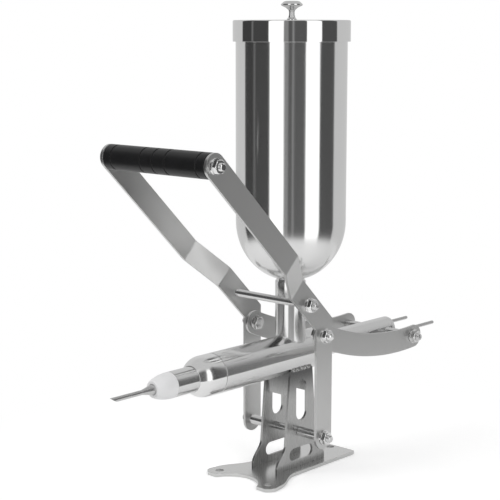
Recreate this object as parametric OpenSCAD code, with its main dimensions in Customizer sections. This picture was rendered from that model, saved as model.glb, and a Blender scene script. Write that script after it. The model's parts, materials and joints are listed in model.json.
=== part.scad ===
// Hand-lever piston filler for doughnuts and choux: a tall hopper feeds a
// horizontal pump barrel, and a swinging yoke drives the piston through two
// curved links, which pushes one dose out of a thin needle nozzle.
// Millimetres, +Z up, nozzle towards -Y. The origin is on the underside of the
// base plate, straight below the hopper's axis.

/* [Base plate] */
// Thickness of the base plate
base_t = 4; // [3:0.5:6]
// Half the width of the plate behind the lugs
base_half_w = 31; // [27:1:36]
// Rear edge, measured back from the hopper axis
base_rear_y = 80; // [70:1:95]
// Half the distance between the two front holes
foot_hole_x = 35.7; // [32:0.1:44]
// Front holes, measured forward from the hopper axis
foot_hole_front_y = 76.4; // [70:0.2:86]
// Rear hole, measured back from the hopper axis
foot_hole_rear_y = 72; // [60:0.5:74]
// Diameter of the three fixing holes
foot_hole_d = 9; // [6:0.5:11]
// Metal left around a front hole, out to the lug's edge
lug_margin = 12; // [9:0.5:14]
// Corner radius of the rear end
base_corner_r = 4; // [1:0.5:8]

/* [Stand plates] */
// Sheet thickness of the stand
stand_t = 3; // [2:0.5:4]
// Half the clear width between the two stand plates
stand_half_gap = 16; // [14:0.5:18]
// Middle of the stand, measured back from the hopper axis
stand_mid_y = -2.3; // [-6:0.1:2]
// Half the length of a plate at its top
stand_top_half = 18.4; // [16:0.2:24]
// Half the length of a plate where the flare begins
stand_waist_half = 26.3; // [24:0.1:30]
// Half the length of a plate at its foot
stand_foot_half = 40.2; // [34:0.2:46]
// Height at which the flare begins
flare_top_z = 32; // [29:1:36]
// Height of the straight foot below the flare
flare_foot_z = 8; // [6:0.5:9]
// Width of the upright slot
tall_slot_w = 17.5; // [12:0.5:20]
// Lower end of the upright slot
tall_slot_z0 = 56.5; // [54:0.5:62]
// Upper end of the upright slot
tall_slot_z1 = 102; // [90:0.5:104]
// Height of the lying slot's middle
low_slot_z = 18.7; // [17:0.1:20]
// Height of the lying slot
low_slot_h = 14.5; // [10:0.5:16]
// Length of the lying slot
low_slot_len = 39; // [30:1:44]
// Lower edge of the two cradle plates under the barrel
cradle_z = 86; // [80:1:94]
// Inset of a cradle plate from the stand's top corner
cradle_inset = 1; // [0.5:0.5:4]

/* [Pump barrel] */
// Height of the barrel's axis
barrel_z = 128.8; // [128:0.1:132]
// Outer diameter of the barrel
barrel_d = 43.6; // [42.8:0.2:45]
// Wall of the barrel
barrel_wall = 4; // [3.6:0.1:5]
// Front end of the full barrel, measured forward from the hopper axis
barrel_front = 123.2; // [110:0.5:140]
// Rear end of the barrel, measured back from the hopper axis
barrel_rear = 42; // [40:0.5:50]
// Length of the reduced spigot that the screw cap goes over
spigot_len = 11; // [8:0.5:14]
// Depth by which the spigot is turned down
spigot_step = 2; // [1.5:0.1:2.5]
// Diameter of the feed port in the barrel's top
port_d = 28; // [20:0.5:28]
// Diameter of the two rear guide rods
guide_d = 4; // [3:0.1:4.4]
// Height of the guide rods below the barrel's axis
guide_drop = 1.5; // [0:0.1:2]
// Rear end of the guide rods, measured back from the hopper axis
guide_end = 246; // [200:1:260]

/* [Front cap and outlet] */
// Width of the dark groove between cap and barrel
cap_groove = 0.5; // [0.2:0.1:1]
// Length of the cap's cylindrical ring
cap_ring_len = 16; // [14:0.5:22]
// Length of the cap's domed taper
cap_taper_len = 16; // [12:0.5:24]
// Outward bulge of the taper
cap_bulge = 1.8; // [0.5:0.1:3]
// Outer diameter of the outlet tube
outlet_d = 27.2; // [25:0.2:30]
// Wall of the outlet tube
outlet_wall = 2.6; // [2:0.1:3.2]
// Outlet tube seen between cap and nozzle nut
outlet_len = 30; // [22:0.5:40]
// Spigot of the outlet tube inside the nozzle nut
outlet_spigot = 5; // [4:0.5:8]
// Thickness of the flat seals
seal_t = 1; // [0.6:0.1:1.5]

/* [Nozzle] */
// Length of the white nozzle nut
nut_len = 24; // [20:0.5:30]
// Length over which the nut's outline would round to a point
nut_nose = 31; // [28:0.5:40]
// Outer diameter of the needle tube
needle_d = 5; // [3:0.1:6]
// Sheet thickness of the nozzle
needle_wall = 0.5; // [0.4:0.1:0.9]
// Outer diameter of the nozzle's cone at its base
needle_base_d = 18.6; // [14:0.2:20]
// Length of the nozzle's cone
needle_cone_len = 32; // [26:0.5:40]
// Length of the needle tube
needle_len = 42; // [30:1:90]
// Length of the slanted cut at the tip
needle_cut = 8.5; // [4:0.5:16]

/* [Feed neck] */
// Outer diameter of the feed neck
neck_d = 33.6; // [31.6:0.2:36]
// Wall of the feed neck
neck_wall = 1.2; // [1:0.1:2]
// Height of the neck's upper rim
neck_top_z = 211; // [205:1:212]
// Depth of the hopper's spigot inside the neck
hopper_spigot_depth = 12; // [8:1:20]

/* [Hopper and lid] */
// Outer diameter of the hopper
hopper_d = 120; // [100:1:132]
// Sheet thickness of the hopper
hopper_wall = 1.2; // [0.8:0.1:2]
// Height of the domed bottom
dome_h = 65.5; // [60:0.5:72]
// Height of the straight wall
hopper_h = 214.4; // [150:0.2:260]
// Height of the rolled rim
rim_h = 3; // [2:0.5:6]
// Outward step of the rolled rim
rim_step = 1.4; // [0.6:0.1:1.4]
// Height of the lid's skirt
skirt_h = 22.6; // [15:0.2:40]
// Sheet thickness of the lid
lid_t = 1.2; // [0.8:0.1:2]
// Corner radius of the lid's upper edge
lid_edge_r = 1.6; // [1.3:0.1:3]
// Largest diameter of the lid's knob
knob_d = 23.6; // [18:0.2:32]
// Height of the lid's knob
knob_h = 20.2; // [16:0.2:28]
// Diameter of the screw that holds the knob
knob_screw_d = 4; // [3:0.5:4]

/* [Lever yoke] */
// Width of the flat bar of the lever and links
bar_w = 26; // [20:0.5:26]
// Thickness of the lever's flat bar
bar_t = 3; // [2:0.5:4]
// Lever axle, elbow and upright leg, measured back from the hopper axis
leg_y = -5.5; // [-8:0.5:0]
// Height of the lever axle
axle_z = 44; // [41:0.5:45]
// Height of the elbow bolts
elbow_z = 157.5; // [156:0.5:160]
// Height at which the arm bends forward
bend_z = 170; // [168:0.5:174]
// Lean of the upper arm from upright
arm_lean = 45.5; // [40:0.5:52]
// Distance from the bend to the tie rod along the arm
tie_along = 35.5; // [34:0.5:42]
// Distance from the bend to the first fold of the arm
fold_low_along = 65; // [60:1:70]
// Distance from the bend to the second fold of the arm
fold_high_along = 110; // [100:1:120]
// Distance from the bend to the grip's axis
grip_along = 265.5; // [220:0.5:300]
// Half the clear width between the upright legs
leg_half_gap = 50.7; // [48:0.1:58]
// Half the clear width between the upper arms
arm_half_gap = 71.8; // [68:0.1:80]
// Diameter of the rubber grip
grip_d = 26; // [22:0.5:32]
// Diameter of the steel tube under the rubber
grip_tube_d = 19; // [16:0.5:20]
// Wall of the steel tube under the rubber
grip_tube_wall = 1.5; // [1:0.1:2.5]
// Places of the five grip grooves from the middle
grip_grooves = [-60, -17.5, 0, 17.5, 60];
// Width of a grip groove
groove_w = 1.6; // [0.8:0.1:3]
// Depth of a grip groove
groove_depth = 0.9; // [0.4:0.1:1.5]
// Diameter of the tie rod, the lever axle and all bolts
rod_d = 8; // [6:0.5:8]
// Outer diameter of the axle's spacer sleeves
sleeve_d = 10.6; // [10.2:0.2:14]

/* [Links] */
// Thickness of the curved links
link_t = 3; // [2:0.5:4]
// Rear pin, measured back from the hopper axis at rest
pin_y = 161; // [156:0.5:170]
// Sag of a link's centre line below the straight line between its pins
link_sag = 10.6; // [4:0.2:14]
// Metal between the rear pin and the centre of the link's round end
link_over = 3; // [0:0.5:6]
// Free movement of the elbow bolt along the link
play_along = 1.3; // [1.1:0.05:1.5]
// Free movement of the elbow bolt across the link
play_across = 3.8; // [3.6:0.05:4]

/* [Piston] */
// Front face of the piston head behind the hopper axis at rest
head_front = 16.5; // [15:0.5:20]
// Length of the piston head
head_len = 22; // [18:0.5:24]
// Width of an O-ring groove
ring_w = 3; // [2.4:0.1:3.4]
// Depth of an O-ring groove
ring_depth = 2.4; // [2:0.1:3]
// Outer diameter of the piston tube
tube_d = 26.8; // [22:0.2:28]
// Wall of the piston tube
tube_wall = 2; // [1.5:0.1:3]
// Length of the piston tube and its plug behind the rear pin
tube_tail = 17; // [15:0.5:30]
// Length of the end plug that shows
plug_lip = 6; // [4:0.5:8]
// Diameter of the cross rod between the links
cross_d = 10; // [9:0.5:12]

/* [Fasteners] */
// Width of a nut or bolt head across its flats
nut_af = 13; // [12:0.5:14]
// Height of a nut
nut_h = 5; // [4:0.1:8]
// Height of a bolt head
head_h = 5.3; // [4:0.1:6]
// Diameter of a washer
washer_d = 16; // [15:0.5:18]
// Thickness of a washer
washer_t = 1.6; // [1.2:0.1:2]
// Thread that stands out beyond a nut
thread_out = 4; // [3:0.5:8]

/* [Clearances] */
// Radial gap of a pin that turns in its hole
pin_gap = 0.05; // [0.03:0.01:0.1]
// Radial gap of a bolt in a hole that only locates it
bolt_gap = 0.1; // [0.05:0.05:0.2]
// Gap between flat faces that slide past each other
face_gap = 0.3; // [0.2:0.05:0.4]
// Radial gap between O-rings and barrel
ring_gap = 0.05; // [0.02:0.01:0.1]
// Radial gap between piston head and barrel
head_gap = 0.3; // [0.2:0.05:0.5]
// Radial gap between guide rods and cross rod
guide_gap = 0.1; // [0.05:0.05:0.15]
// Radial gap between lid skirt and hopper rim
lid_gap = 0.5; // [0.3:0.1:0.8]
// Radial gap of screwed joints
thread_gap = 0.1; // [0.05:0.05:0.2]

/* [Hidden] */

$fn = 96;
eps = 0.01;
curve_steps = 24;     // points on a worked-out curve

steel = [0.78, 0.78, 0.79];
bright_steel = [0.86, 0.86, 0.87];
white_plastic = [0.94, 0.94, 0.93];
black_rubber = [0.06, 0.06, 0.065];

// Barrel and piston
bore_d = barrel_d - 2 * barrel_wall;
guide_x = sqrt(pow(bore_d / 2 + barrel_wall / 2, 2) - pow(guide_drop, 2));
guide_z = barrel_z - guide_drop;
spigot_d = barrel_d - 2 * spigot_step;
// The plates stand against the barrel with their upper inner edges.
stand_top_z = barrel_z - sqrt(pow(barrel_d / 2, 2) - pow(stand_half_gap, 2));
stand_out_x = stand_half_gap + stand_t;

// Front end, all as Y values
cap_rear_y = -barrel_front - cap_groove;
cap_edge_y = cap_rear_y - cap_ring_len;
cap_nose_y = cap_edge_y - cap_taper_len;
spigot_front_y = -barrel_front - spigot_len;
outlet_front_y = cap_nose_y - outlet_len;
outlet_tip_y = outlet_front_y - outlet_spigot;
nut_front_y = outlet_front_y - nut_len;
needle_base_y = outlet_tip_y - seal_t;
needle_root_y = needle_base_y - needle_cone_len;
needle_tip_y = needle_root_y - needle_len;
outlet_bore_d = outlet_d - 2 * outlet_wall;
outlet_spigot_d = outlet_d - outlet_wall;
cap_tube_hole_depth = 5;    // length of the outlet tube held inside the cap
flange_w = 1.2;             // lip at the base of the needle nozzle

// Hopper, all as heights
hopper_spigot_d = neck_d - 2 * neck_wall - 2 * thread_gap;
hopper_spigot_z = neck_top_z - hopper_spigot_depth;
neck_stub = 3;              // spigot that shows above the neck's rim
dome_r = hopper_d / 2;
dome_turn = acos(hopper_spigot_d / hopper_d);
dome_mid_z = neck_top_z + neck_stub + dome_h * sin(dome_turn);
hopper_top_z = dome_mid_z + hopper_h;
lid_under_z = hopper_top_z + face_gap;
lid_top_z = lid_under_z + lid_t;
lid_in_d = hopper_d + 2 * rim_step + 2 * lid_gap;
lid_out_d = lid_in_d + 2 * lid_t;
reach = lid_top_z;          // longer than any cut has to be

// Lever, all in the YZ plane
arm_dir = [-sin(arm_lean), cos(arm_lean)];
bend = [leg_y, bend_z];
function along_arm(s) = [bend[0] + s * arm_dir[0], bend[1] + s * arm_dir[1]];
tie_at = along_arm(tie_along);
grip_at = along_arm(grip_along);
axle_at = [leg_y, axle_z];
elbow_at = [leg_y, elbow_z];
leg_out_x = leg_half_gap + bar_t;
arm_out_x = arm_half_gap + bar_t;
link_out_x = leg_half_gap - face_gap;
link_in_x = link_out_x - link_t;
pin_at = [pin_y, barrel_z];
tube_end = pin_y + tube_tail;
stack = washer_t + nut_h + thread_out;   // what stands outside a bar

// The link's centre line is an arc that hangs below its chord
link_dir = (pin_at - elbow_at) / norm(pin_at - elbow_at);
link_end = pin_at + link_over * link_dir;
link_chord = norm(link_end - elbow_at);
link_r = (pow(link_chord / 2, 2) + pow(link_sag, 2)) / (2 * link_sag);
link_up = [-link_dir[1], link_dir[0]];
link_centre = (elbow_at + link_end) / 2 + (link_r - link_sag) * link_up;

// ---------- helpers ----------

// Turns a shape drawn along Z so that it runs along +Y
module to_y() { rotate([-90, 0, 0]) children(); }

// Turns a shape drawn along Z so that it runs along +X
module to_x() { rotate([0, 90, 0]) children(); }

// Revolves a profile of [radius, y] points about the barrel's axis
module turned(profile) {
    translate([0, 0, barrel_z]) to_y() rotate_extrude() polygon(profile);
}

// Cylinder on the barrel's axis between two Y values
module barrel_rod(d, y0, y1) {
    translate([0, y0, barrel_z]) to_y() cylinder(d = d, h = y1 - y0);
}

// Cylinder across the machine at a [y, z] place, between two X values
module cross(d, at, x0, x1) {
    translate([x0, at[0], at[1]]) to_x() cylinder(d = d, h = x1 - x0);
}

// Extrudes a [y, z] outline across the machine from x0, t thick
module side_sheet(x0, t) {
    translate([x0, 0, 0]) rotate([90, 0, 90]) linear_extrude(t) children();
}

// A piece and its mirror image on the other side
module both_sides() {
    children();
    mirror([1, 0, 0]) children();
}

// Outline of a bar with round ends between two [y, z] points
module bar_outline(a, b, w) {
    long = norm(b - a);
    translate(a) rotate(atan2(b[1] - a[1], b[0] - a[0])) {
        translate([0, -w / 2]) square([long, w]);
        circle(d = w);
        translate([long, 0]) circle(d = w);
    }
}

// Outline of a slot of full length len and width w, along X
module slot_outline(len, w) {
    square([len - w, w], center = true);
    for (s = [-1, 1]) translate([s * (len - w) / 2, 0]) circle(d = w);
}

// Washer lying against a bar at x0, outwards along +X
module washer_at(at, x0, hole) {
    difference() {
        cross(washer_d, at, x0, x0 + washer_t);
        cross(hole, at, x0 - eps, x0 + washer_t + eps);
    }
}

// Hexagon with its corners turned off at one or both ends
module hexagon(h, both) {
    corner_d = nut_af / cos(30);
    turned_d = nut_af * 0.96;
    drop = (corner_d - turned_d) / 2 * tan(30);
    low = both ? turned_d / 2 : corner_d / 2;
    intersection() {
        cylinder(d = corner_d, h = h, $fn = 6);
        rotate_extrude() polygon([[0, 0], [low, 0], [corner_d / 2, both ? drop : 0],
                                  [corner_d / 2, h - drop], [turned_d / 2, h], [0, h]]);
    }
}

// Nut on a rod at x0, outwards along +X
module nut_at(at, x0) {
    difference() {
        translate([x0, at[0], at[1]]) to_x() rotate(30) hexagon(nut_h, true);
        cross(rod_d + 2 * thread_gap, at, x0 - eps, x0 + nut_h + eps);
    }
}

// Rod end with a small bevel, drawn along +Z from 0 to h
module bevelled_rod(d, h) {
    bevel = 0.8;
    rotate_extrude() polygon([[0, 0], [d / 2, 0], [d / 2, h - bevel], [d / 2 - bevel, h],
                              [0, h]]);
}

// Rod right across the machine with both ends bevelled
module through_rod(d, at, half) {
    both_sides() translate([0, at[0], at[1]]) to_x() bevelled_rod(d, half);
}

// ---------- base and stand ----------

// Front corner lugs reach past the holes by lug_margin; the front edge
// between them is drawn in as a wide arc.
module base_outline() {
    hole_y = -foot_hole_front_y;
    front_y = hole_y - lug_margin;
    side_x = foot_hole_x + lug_margin;
    cut = lug_margin * 0.42;
    waist_y = hole_y + 50;
    front_dip = 20;
    lug_inner_x = foot_hole_x - 0.5 * lug_margin;
    arc_r = (pow(lug_inner_x, 2) + pow(front_dip, 2)) / (2 * front_dip);
    half = [
        [0, base_rear_y],
        [base_half_w - base_corner_r, base_rear_y],
        for (i = [1:6]) let (a = 90 - 15 * i)
            [base_half_w - base_corner_r + base_corner_r * cos(a),
             base_rear_y - base_corner_r + base_corner_r * sin(a)],
        for (i = [0:curve_steps]) let (u = i / curve_steps)
            [base_half_w + (side_x - base_half_w) * (1 - cos(180 * u)) / 2,
             waist_y + (hole_y + cut - waist_y) * u],
        [side_x + 1.5, front_y + 2 * cut],
        [side_x, front_y + cut],
        [side_x - cut, front_y],
        [lug_inner_x, front_y],
        [0, front_y]
    ];
    difference() {
        polygon(concat(half, [for (i = [len(half) - 2:-1:1]) [-half[i][0], half[i][1]]]));
        translate([0, front_y + front_dip - arc_r]) circle(r = arc_r);
    }
}

module base_plate() {
    color(bright_steel) difference() {
        linear_extrude(base_t) base_outline();
        for (s = [-1, 1]) translate([s * foot_hole_x, -foot_hole_front_y, -eps])
            cylinder(d = foot_hole_d, h = base_t + 2 * eps);
        translate([0, foot_hole_rear_y, -eps])
            cylinder(d = foot_hole_d, h = base_t + 2 * eps);
    }
}

// Half length of a stand plate inside the flare at height z
function flare_half(z) = stand_waist_half + (stand_foot_half - stand_waist_half)
    * (1 + cos(180 * (z - flare_foot_z) / (flare_top_z - flare_foot_z))) / 2;

// Half length of a stand plate above the flare at height z
function upper_half(z) = stand_waist_half + (stand_top_half - stand_waist_half)
    * (z - flare_top_z) / (stand_top_z - flare_top_z);

module stand_outline() {
    side = [
        [stand_foot_half, base_t],
        for (i = [0:curve_steps])
            let (z = flare_foot_z + (flare_top_z - flare_foot_z) * i / curve_steps)
            [flare_half(z), z],
        [stand_top_half, stand_top_z]
    ];
    difference() {
        translate([stand_mid_y, 0]) polygon(concat(
            side, [for (i = [len(side) - 1:-1:0]) [-side[i][0], side[i][1]]]));
        translate([stand_mid_y, (tall_slot_z0 + tall_slot_z1) / 2]) rotate(90)
            slot_outline(tall_slot_z1 - tall_slot_z0, tall_slot_w);
        translate([stand_mid_y, low_slot_z]) slot_outline(low_slot_len, low_slot_h);
    }
}

module stand_plate() {
    difference() {
        side_sheet(stand_half_gap, stand_t) stand_outline();
        cross(rod_d + 2 * pin_gap, axle_at, stand_half_gap - eps, stand_out_x + eps);
    }
}

module stand_plate_right() { color(steel) stand_plate(); }
module stand_plate_left() { color(steel) mirror([1, 0, 0]) stand_plate(); }

// Upright plate between the stand plates, hollowed to cradle the barrel
module cradle_plate(y0) {
    difference() {
        translate([-stand_half_gap, y0, cradle_z])
            cube([2 * stand_half_gap, stand_t, stand_top_z - cradle_z]);
        barrel_rod(barrel_d, -reach, reach);
    }
}

module cradle_plate_front() {
    color(steel) cradle_plate(stand_mid_y - stand_top_half + cradle_inset);
}
module cradle_plate_rear() {
    color(steel) cradle_plate(stand_mid_y + stand_top_half - cradle_inset - stand_t);
}

// Two weld beads that fill the corner between a plate's top and the barrel
module barrel_welds() {
    bead_half = stand_top_half - 1;
    drop = 0.8;
    color(steel) both_sides() difference() {
        translate([0, stand_mid_y + bead_half, 0]) rotate([90, 0, 0])
            linear_extrude(2 * bead_half) polygon([
                [stand_half_gap, stand_top_z],
                [stand_out_x - drop, stand_top_z],
                [stand_out_x - 0.2, stand_top_z + drop],
                [stand_out_x, stand_top_z + 2 * drop],
                [stand_out_x, barrel_z],
                [stand_half_gap, barrel_z]]);
        barrel_rod(barrel_d, -reach, reach);
        translate([0, -reach, stand_top_z + 3 * drop])
            cube([reach, 2 * reach, reach]);
    }
}

// ---------- barrel and front end ----------

module pump_barrel() {
    spigot_r = spigot_d / 2;
    outer_r = barrel_d / 2;
    bevel = 0.6;
    color(bright_steel) difference() {
        turned([[bore_d / 2, spigot_front_y], [spigot_r, spigot_front_y],
                [spigot_r, -barrel_front], [outer_r - bevel, -barrel_front],
                [outer_r, -barrel_front + bevel], [outer_r, barrel_rear - bevel],
                [outer_r - bevel, barrel_rear], [bore_d / 2, barrel_rear]]);
        translate([0, 0, barrel_z]) cylinder(d = port_d, h = barrel_d);
    }
}

// The piston can be drawn right out along these rods for cleaning
module guide_rods() {
    nose = guide_d / 2;
    color(bright_steel) both_sides() translate([guide_x, barrel_rear, guide_z]) to_y()
        rotate_extrude() polygon([
            [0, 0], [nose, 0],
            for (i = [0:6]) let (a = 15 * i)
                [nose * cos(a), guide_end - barrel_rear - nose + nose * sin(a)]]);
}

module screw_cap() {
    outer_r = barrel_d / 2;
    tube_r = outlet_d / 2;
    skirt_in_r = spigot_d / 2 + thread_gap;
    seat_y = spigot_front_y - seal_t;
    throat_y = cap_nose_y + cap_tube_hole_depth;
    bevel = 0.5;
    color(bright_steel) turned([
        [skirt_in_r, cap_rear_y], [outer_r - bevel, cap_rear_y],
        [outer_r, cap_rear_y - bevel],
        for (i = [0:curve_steps]) let (u = i / curve_steps)
            [outer_r + (tube_r + 0.5 - outer_r) * u + cap_bulge * sin(180 * u),
             cap_edge_y - cap_taper_len * u],
        [tube_r, cap_nose_y], [tube_r, throat_y], [outlet_bore_d / 2, throat_y],
        [bore_d / 2, seat_y], [skirt_in_r, seat_y]]);
}

// Flat ring between the barrel's spigot and the cap's inner shoulder
module cap_seal() {
    color(white_plastic) turned([
        [bore_d / 2, spigot_front_y], [bore_d / 2, spigot_front_y - seal_t],
        [spigot_d / 2, spigot_front_y - seal_t], [spigot_d / 2, spigot_front_y]]);
}

module outlet_tube() {
    rear_y = cap_nose_y + cap_tube_hole_depth;
    color(bright_steel) turned([
        [outlet_bore_d / 2, rear_y], [outlet_d / 2, rear_y],
        [outlet_d / 2, outlet_front_y], [outlet_spigot_d / 2, outlet_front_y],
        [outlet_spigot_d / 2, outlet_tip_y], [outlet_bore_d / 2, outlet_tip_y]]);
}

// Outer radius of the needle nozzle's cone at a Y value
function cone_r(y) = needle_d / 2
    + (needle_base_d - needle_d) / 2 * (y - needle_root_y) / needle_cone_len;

// White nut with a bullet-shaped outline that clamps the nozzle's flange
module nozzle_nut() {
    tube_r = outlet_d / 2;
    thread_r = outlet_spigot_d / 2 + thread_gap;
    shoulder_y = needle_base_y - flange_w - 2 * thread_gap;
    edge = 0.7;
    nose_r = tube_r * sqrt(1 - pow((nut_len - edge) / nut_nose, 2));
    color(white_plastic) turned([
        [thread_r, outlet_front_y - thread_gap],
        for (i = [0:curve_steps]) let (d = thread_gap + (nut_len - edge - thread_gap)
                                       * i / curve_steps)
            [tube_r * sqrt(1 - pow(d / nut_nose, 2)), outlet_front_y - d],
        [nose_r - edge, nut_front_y],
        [cone_r(nut_front_y) + thread_gap, nut_front_y],
        [cone_r(shoulder_y) + thread_gap, shoulder_y],
        [thread_r, shoulder_y]]);
}

module needle_nozzle() {
    root_r = needle_d / 2;
    base_r = needle_base_d / 2;
    flange_r = outlet_spigot_d / 2 - thread_gap;
    color(bright_steel) difference() {
        turned([
            [base_r - needle_wall, needle_base_y], [flange_r, needle_base_y],
            [flange_r, needle_base_y - flange_w],
            [cone_r(needle_base_y - flange_w), needle_base_y - flange_w],
            [root_r, needle_root_y], [root_r, needle_tip_y],
            [root_r - needle_wall, needle_tip_y],
            [root_r - needle_wall, needle_root_y]]);
        // the tip is cut on the slant, so that its upper side is the longest
        translate([0, needle_tip_y, barrel_z + root_r])
            rotate([-atan(needle_d / needle_cut), 0, 0])
                translate([-needle_d, -needle_len / 2, -2 * needle_d])
                    cube([2 * needle_d, needle_len / 2 + needle_cut * 1.4, 2 * needle_d]);
    }
}

// Flat ring between the outlet tube's spigot and the nozzle's flange
module nozzle_seal() {
    color(white_plastic) turned([
        [outlet_bore_d / 2, outlet_tip_y], [outlet_bore_d / 2, needle_base_y],
        [outlet_spigot_d / 2, needle_base_y], [outlet_spigot_d / 2, outlet_tip_y]]);
}

// ---------- neck, hopper and lid ----------

// Tube that sits saddle-wise on the barrel
module feed_neck() {
    color(bright_steel) difference() {
        translate([0, 0, barrel_z]) rotate_extrude() polygon([
            [neck_d / 2 - neck_wall, 0], [neck_d / 2, 0], [neck_d / 2, neck_top_z - barrel_z],
            [neck_d / 2 - neck_wall, neck_top_z - barrel_z]]);
        barrel_rod(barrel_d, -reach, reach);
    }
}

module hopper() {
    spigot_r = hopper_spigot_d / 2;
    in_r = dome_r - hopper_wall;
    in_h = dome_h - hopper_wall;
    in_turn = acos((spigot_r - hopper_wall) / in_r);
    color(bright_steel) rotate_extrude($fn = 180) polygon([
        [spigot_r - hopper_wall, hopper_spigot_z], [spigot_r, hopper_spigot_z],
        for (i = [0:curve_steps]) let (a = dome_turn * (1 - i / curve_steps))
            [dome_r * cos(a), dome_mid_z - dome_h * sin(a)],
        [dome_r, hopper_top_z - rim_h - rim_step],
        [dome_r + rim_step, hopper_top_z - rim_h], [dome_r + rim_step, hopper_top_z],
        [in_r, hopper_top_z],
        for (i = [0:curve_steps]) let (a = in_turn * i / curve_steps)
            [in_r * cos(a), dome_mid_z - in_h * sin(a)]]);
}

module lid() {
    out_r = lid_out_d / 2;
    in_r = lid_in_d / 2;
    hole_r = knob_screw_d / 2 + bolt_gap;
    color(bright_steel) rotate_extrude($fn = 180) polygon([
        [hole_r, lid_under_z], [in_r, lid_under_z], [in_r, lid_top_z - skirt_h],
        [out_r, lid_top_z - skirt_h],
        for (i = [0:6]) let (a = 15 * i)
            [out_r - lid_edge_r * (1 - cos(a)), lid_top_z - lid_edge_r * (1 - sin(a))],
        [hole_r, lid_top_z]]);
}

// Outline of the knob as shares of its radius and height
knob_shape = [[0.47, 0], [0.46, 0.04], [0.33, 0.14], [0.27, 0.26], [0.26, 0.42],
              [0.31, 0.52], [0.58, 0.65], [0.93, 0.74], [1, 0.79], [0.97, 0.84],
              [0.74, 0.96], [0.55, 1]];

module lid_knob() {
    screw_hole_d = knob_screw_d + 2 * thread_gap;
    screw_hole_h = 9;
    color(bright_steel) translate([0, 0, lid_top_z]) difference() {
        rotate_extrude() polygon(concat(
            [[0, 0]], [for (p = knob_shape) [p[0] * knob_d / 2, p[1] * knob_h]],
            [[0, knob_h]]));
        translate([0, 0, -eps]) cylinder(d = screw_hole_d, h = screw_hole_h);
    }
}

// Pan-head screw from below the lid
module knob_screw() {
    head_d = 2 * knob_screw_d;
    head_t = 0.6 * knob_screw_d;
    slot_w = 1;
    shank = 8 + lid_t;
    color(steel) translate([0, 0, lid_under_z]) difference() {
        union() {
            cylinder(d = knob_screw_d, h = shank);
            translate([0, 0, -head_t]) cylinder(d = head_d, h = head_t);
        }
        translate([-head_d, -slot_w / 2, -head_t - eps])
            cube([2 * head_d, slot_w, head_t / 2]);
    }
}

// ---------- lever yoke ----------

// Upright leg and leaning upper arm of one flat bar, seen from the side
module arm_outline() {
    bar_outline(axle_at, bend, bar_w);
    bar_outline(bend, grip_at, bar_w);
    // square the outer corner of the bend
    intersection() {
        translate([bend[0], bend[1] - bar_w]) square([bar_w / 2, 2 * bar_w]);
        translate(bend) rotate(atan2(arm_dir[1], arm_dir[0]))
            translate([-bar_w, -bar_w / 2]) square([2 * bar_w, bar_w / 2]);
    }
}

// The same bar seen along its width: two folds carry it outwards past the hopper
module arm_folds() {
    low = fold_low_along;
    high = fold_high_along;
    run = norm([high - low, arm_half_gap - leg_half_gap]);
    // the outer skin's corners shift so that the bar keeps its thickness
    shift = bar_t * (run - (high - low)) / (arm_half_gap - leg_half_gap);
    translate([0, bend[0], bend[1]]) rotate([arm_lean, 0, 0]) rotate([0, -90, -90])
        translate([0, 0, -reach / 2]) linear_extrude(reach) polygon([
            [-reach, leg_half_gap], [low, leg_half_gap], [high, arm_half_gap],
            [reach, arm_half_gap], [reach, arm_out_x], [high - shift, arm_out_x],
            [low - shift, leg_out_x], [-reach, leg_out_x]]);
}

module lever_arm() {
    hole_d = rod_d + 2 * bolt_gap;
    difference() {
        intersection() {
            side_sheet(leg_half_gap - 1, arm_out_x - leg_half_gap + 2) arm_outline();
            arm_folds();
        }
        for (at = [axle_at, elbow_at, tie_at, grip_at])
            cross(hole_d, at, leg_half_gap - 1, arm_out_x + 1);
    }
}

module lever_arm_right() { color(steel) lever_arm(); }
module lever_arm_left() { color(steel) mirror([1, 0, 0]) lever_arm(); }

// Steel tube under the rubber, clamped between the arms
module grip_tube() {
    color(steel) difference() {
        cross(grip_tube_d, grip_at, -arm_half_gap, arm_half_gap);
        cross(grip_tube_d - 2 * grip_tube_wall, grip_at, -reach, reach);
    }
}

module rubber_grip() {
    half = arm_half_gap - face_gap;
    edge = 0.8;
    r = grip_d / 2;
    color(black_rubber) difference() {
        translate([0, grip_at[0], grip_at[1]]) to_x() rotate_extrude() polygon([
            [grip_tube_d / 2, -half], [r - edge, -half], [r, -half + edge],
            [r, half - edge], [r - edge, half], [grip_tube_d / 2, half]]);
        for (x = grip_grooves) difference() {
            cross(grip_d + 2, grip_at, x - groove_w / 2, x + groove_w / 2);
            cross(grip_d - 2 * groove_depth, grip_at, x - groove_w, x + groove_w);
        }
    }
}

module grip_stud() { color(steel) through_rod(rod_d, grip_at, arm_out_x + stack); }

// Rod above the elbow: its middle keeps the arms apart and it stops the lever,
// back against the neck and forward on the barrel
module tie_rod() { color(bright_steel) through_rod(rod_d, tie_at, leg_out_x + stack); }

module lever_axle() { color(bright_steel) through_rod(rod_d, axle_at, leg_out_x + stack); }

// Sleeves that keep the legs clear of the stand
module axle_sleeves() {
    color(bright_steel) both_sides() difference() {
        cross(sleeve_d, axle_at, stand_out_x + face_gap, leg_half_gap);
        cross(rod_d + 2 * bolt_gap, axle_at, stand_out_x, leg_half_gap + eps);
    }
}

// Bolts whose heads lie inside the links and whose threads stand outside
module elbow_bolts() {
    head_x = link_in_x - face_gap - washer_t - head_h;
    shank_x = head_x + head_h;
    color(bright_steel) both_sides() translate([0, elbow_at[0], elbow_at[1]]) {
        translate([shank_x, 0, 0]) mirror([1, 0, 0]) to_x() rotate(30) hexagon(head_h, false);
        translate([shank_x, 0, 0]) to_x()
            bevelled_rod(rod_d, leg_out_x + stack - shank_x);
    }
}

module elbow_inner_washers() {
    color(bright_steel) both_sides()
        washer_at(elbow_at, link_in_x - face_gap - washer_t, rod_d + 2 * bolt_gap);
}

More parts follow.
